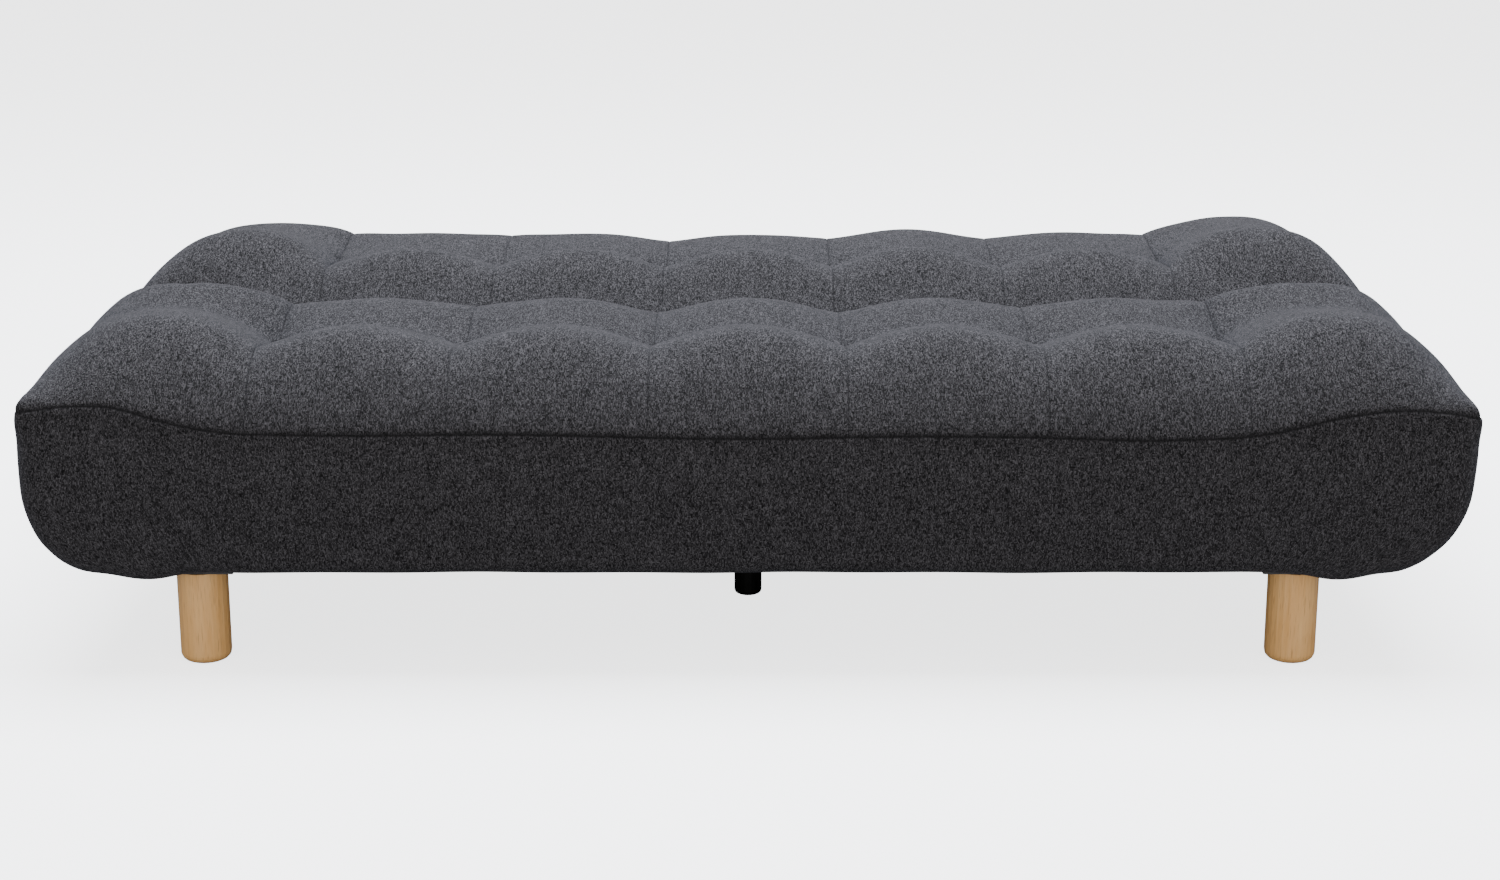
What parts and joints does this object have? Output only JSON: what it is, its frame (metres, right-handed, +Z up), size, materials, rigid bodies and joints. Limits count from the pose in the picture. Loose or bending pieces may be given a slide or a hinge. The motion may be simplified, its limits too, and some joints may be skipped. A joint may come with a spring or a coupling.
{
  "type": "futon sofa bed",
  "caption": "Sofa bed with tufted seat and back halves hinged to a low frame on wooden legs, lying flat as a bed.",
  "frame": {"origin": "on the floor under the middle of the bed, on the hinge line's plan, at the height of the leg soles", "axes": "+X to the right when facing the front, +Y from the front (seat half) to the rear (back half), +Z up"},
  "size_m": [1.82, 1.06, 0.425],
  "materials": {
    "charcoal_fabric": "charcoal mixed-thread upholstery weave",
    "dust_cloth": "black non-woven",
    "foam": "open-cell foam",
    "beech": "clear satin lacquer",
    "timber": "planed, unfinished",
    "webbing": "elastic webbing",
    "black_steel": "black powder coat",
    "zinc_steel": "zinc plated",
    "black_plastic": "matt"
  },
  "bodies": {
    "base": {"base_front_rail": "black_steel", "base_rear_rail": "black_steel", "base_left_rail": "black_steel", "base_right_rail": "black_steel", "base_centre_rail": "black_steel", "centre_leg": "black_plastic", "front_left_leg": "beech", "front_left_leg_bolt": "zinc_steel", "front_left_leg_plate": "black_steel", "front_right_leg": "beech", "front_right_leg_bolt": "zinc_steel", "front_right_leg_plate": "black_steel", "rear_left_leg": "beech", "rear_left_leg_bolt": "zinc_steel", "rear_left_leg_plate": "black_steel", "rear_right_leg": "beech", "rear_right_leg_bolt": "zinc_steel", "rear_right_leg_plate": "black_steel", "hinge_post_left": "black_steel", "pivot_bolt_left": "zinc_steel", "pivot_nut_left": "zinc_steel", "hinge_post_right": "black_steel", "pivot_bolt_right": "zinc_steel", "pivot_nut_right": "zinc_steel"},
    "seat": {"seat_outer_rail": "timber", "seat_hinge_rail": "timber", "seat_left_rail": "timber", "seat_right_rail": "timber", "seat_stretcher": "timber", "seat_strap_1": "webbing", "seat_strap_2": "webbing", "seat_strap_3": "webbing", "seat_strap_4": "webbing", "seat_dust_cover": "dust_cloth", "seat_cover": "charcoal_fabric", "seat_foam": "foam", "seat_arm_left": "zinc_steel", "pawl_pin_left": "zinc_steel", "pawl_spring_left": "zinc_steel", "seat_arm_right": "zinc_steel", "pawl_pin_right": "zinc_steel", "pawl_spring_right": "zinc_steel"},
    "back": {"back_outer_rail": "timber", "back_hinge_rail": "timber", "back_left_rail": "timber", "back_right_rail": "timber", "back_stretcher": "timber", "back_strap_1": "webbing", "back_strap_2": "webbing", "back_strap_3": "webbing", "back_strap_4": "webbing", "back_dust_cover": "dust_cloth", "back_cover": "charcoal_fabric", "back_foam": "foam", "back_arm_left": "zinc_steel", "ratchet_left": "zinc_steel", "back_arm_right": "zinc_steel", "ratchet_right": "zinc_steel"},
    "left_pawl": {"pawl_left": "zinc_steel"},
    "right_pawl": {"pawl_right": "zinc_steel"}
  },
  "joints": [
    {"name": "seat_hinge", "type": "hinge", "parent": "base", "child": "seat", "pos_m": [0, 0, 0.305], "axis": [-1, 0, 0], "range_deg": [0, 30]},
    {"name": "back_hinge", "type": "hinge", "parent": "base", "child": "back", "pos_m": [0, 0, 0.305], "axis": [1, 0, 0], "range_deg": [0, 75]},
    {"name": "left_pawl_pivot", "type": "hinge", "parent": "seat", "child": "left_pawl", "pos_m": [-0.8215, -0.0185, 0.275], "axis": [-1, 0, 0], "range_deg": [0, 9], "stiffness_Nm_per_rad": 0.02},
    {"name": "right_pawl_pivot", "type": "hinge", "parent": "seat", "child": "right_pawl", "pos_m": [0.8215, -0.0185, 0.275], "axis": [-1, 0, 0], "range_deg": [0, 9], "stiffness_Nm_per_rad": 0.02}
  ]
}
